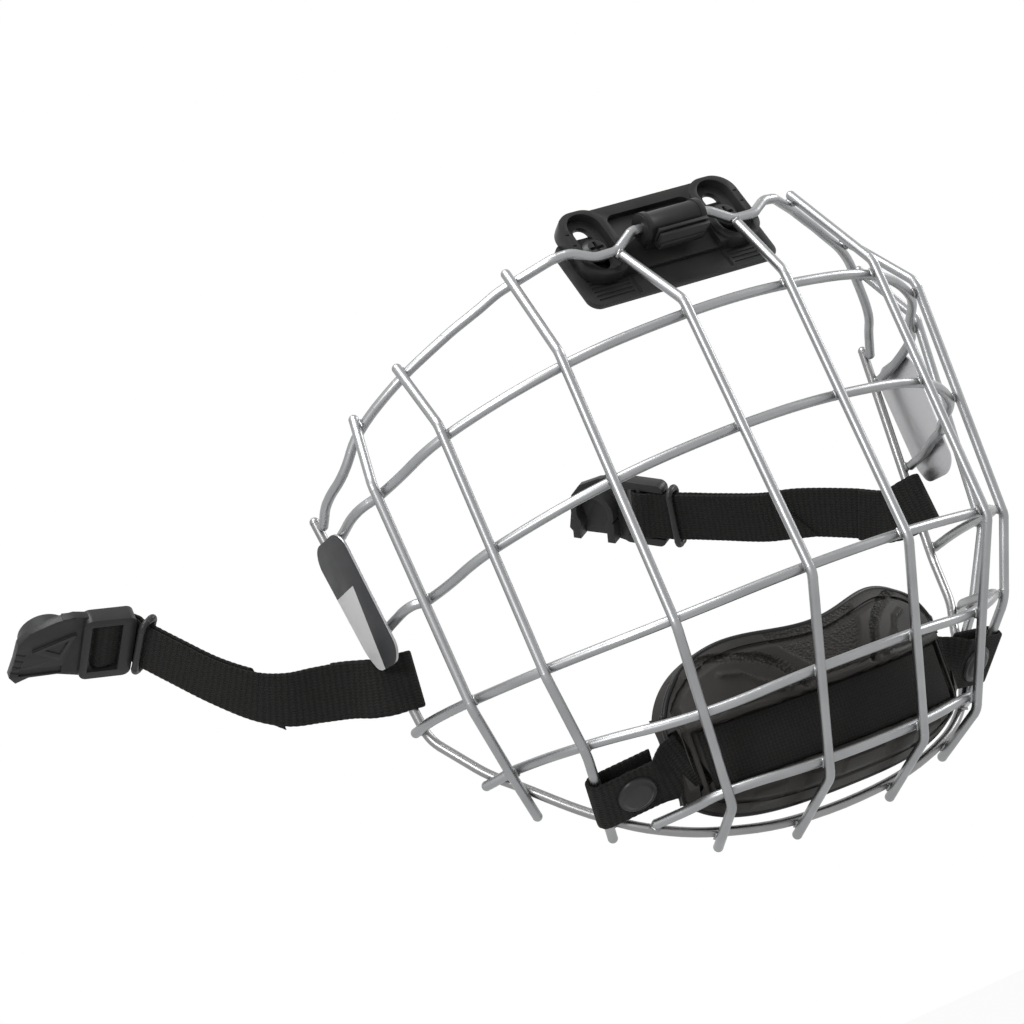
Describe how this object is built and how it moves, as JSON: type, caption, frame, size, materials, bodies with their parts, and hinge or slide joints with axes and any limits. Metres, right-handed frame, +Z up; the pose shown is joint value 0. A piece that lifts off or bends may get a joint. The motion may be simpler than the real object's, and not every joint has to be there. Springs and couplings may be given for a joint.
{
  "type": "hockey facemask",
  "caption": "Ice hockey wire facemask with a slotted forehead hinge plate, side straps with snap buckles and a padded chin cup on webbing.",
  "frame": {"origin": "back face of the forehead pad, midway between the two helmet screws", "axes": "+X to the wearer's left, +Y to the back of the head, +Z up, with the cage hanging as worn"},
  "size_m": [0.2832, 0.1844, 0.1784],
  "materials": {
    "screw_black": "black screws, satin",
    "pad_rubber": "black moulded pad, matt",
    "plate_plastic": "black nylon, satin",
    "wire_steel": "plated steel wire, satin silver",
    "label_steel": "stamped sheet, satin",
    "webbing": "black woven webbing",
    "ring_rubber": "black rubber ring",
    "buckle_plastic": "black moulded plastic, satin",
    "cup_foam": "moulded foam shell, black, soft sheen",
    "liner_cloth": "black lining cloth",
    "snap_black": "black enamelled snap cap",
    "snap_steel": "snap socket, dull steel"
  },
  "bodies": {
    "helmet_side": {"face_screws": "screw_black", "forehead_pad": "pad_rubber"},
    "forehead_hinge": {"hinge_plate": "plate_plastic", "hinge_barrel": "plate_plastic"},
    "cage": {"brow_wire": "wire_steel", "jaw_wire": "wire_steel", "cross_wire_1": "wire_steel", "cross_wire_2": "wire_steel", "cross_wire_3": "wire_steel", "cross_wire_4": "wire_steel", "cross_wire_5": "wire_steel", "upright_right_1": "wire_steel", "upright_right_2": "wire_steel", "upright_right_3": "wire_steel", "upright_right_4": "wire_steel", "upright_left_1": "wire_steel", "upright_left_2": "wire_steel", "upright_left_3": "wire_steel", "upright_left_4": "wire_steel", "label_plate_right": "label_steel", "label_plate_left": "label_steel", "cup_strap_right": "webbing", "cup_strap_left": "webbing", "snap_cap_right": "snap_black", "snap_cap_left": "snap_black"},
    "chin": {"chin_cup": "cup_foam", "chin_liner": "liner_cloth", "chin_webbing": "webbing"},
    "flap_right": {"snap_flap_right": "webbing", "snap_socket_right": "snap_steel"},
    "flap_left": {"snap_flap_left": "webbing", "snap_socket_left": "snap_steel"},
    "strap_right": {"side_strap_right": "webbing"},
    "strap_left": {"side_strap_left": "webbing"},
    "ring_right": {"keeper_right": "ring_rubber"},
    "ring_left": {"keeper_left": "ring_rubber"},
    "clip_right": {"buckle_right": "buckle_plastic"},
    "clip_left": {"buckle_left": "buckle_plastic"}
  },
  "joints": [
    {"name": "plate_height", "type": "slide", "parent": "helmet_side", "child": "forehead_hinge", "axis": [0, 0.309, 0.9511], "range_m": [-0.0072, 0.0036]},
    {"name": "cage_flip", "type": "hinge", "parent": "forehead_hinge", "child": "cage", "pos_m": [0, -0.01001, 0.0022], "axis": [-1, 0, 0], "range_deg": [0, 105]},
    {"name": "chin_cup_tilt", "type": "hinge", "parent": "cage", "child": "chin", "pos_m": [0, 0.0244, -0.1336], "axis": [1, 0, 0], "range_deg": [-6, 6]},
    {"name": "snap_flap_right_open", "type": "hinge", "parent": "cage", "child": "flap_right", "pos_m": [-0.06662, 0.03673, -0.13295], "axis": [-0.3087, -0.71, 0.6329], "range_deg": [0, 95]},
    {"name": "snap_flap_left_open", "type": "hinge", "parent": "cage", "child": "flap_left", "pos_m": [0.06662, 0.03673, -0.13295], "axis": [-0.3087, 0.71, -0.6329], "range_deg": [0, 95]},
    {"name": "strap_swing_right", "type": "hinge", "parent": "cage", "child": "strap_right", "pos_m": [-0.09292, 0.06764, -0.081], "axis": [-0.1089, -0.0485, 0.9929], "range_deg": [-76, 0]},
    {"name": "strap_swing_left", "type": "hinge", "parent": "cage", "child": "strap_left", "pos_m": [0.09292, 0.06764, -0.081], "axis": [0.1089, -0.0485, 0.9929], "range_deg": [-90, 18]},
    {"name": "keeper_slide_right", "type": "slide", "parent": "strap_right", "child": "ring_right", "axis": [-0.4662, 0.3671, 0.8049], "range_m": [-0.004, 0]},
    {"name": "keeper_slide_left", "type": "slide", "parent": "strap_left", "child": "ring_left", "axis": [-0.5022, 0.7302, 0.4633], "range_m": [-0.004, 0.001]},
    {"name": "buckle_fold_right", "type": "hinge", "parent": "strap_right", "child": "clip_right", "pos_m": [-0.1561, 0.0994, -0.0366], "axis": [-0.0344, 0.878, -0.4775], "range_deg": [-2, 55]},
    {"name": "buckle_fold_left", "type": "hinge", "parent": "strap_left", "child": "clip_left", "pos_m": [0.0448, 0.1345, -0.043], "axis": [-0.0926, -0.678, 0.7292], "range_deg": [-2, 55]}
  ]
}
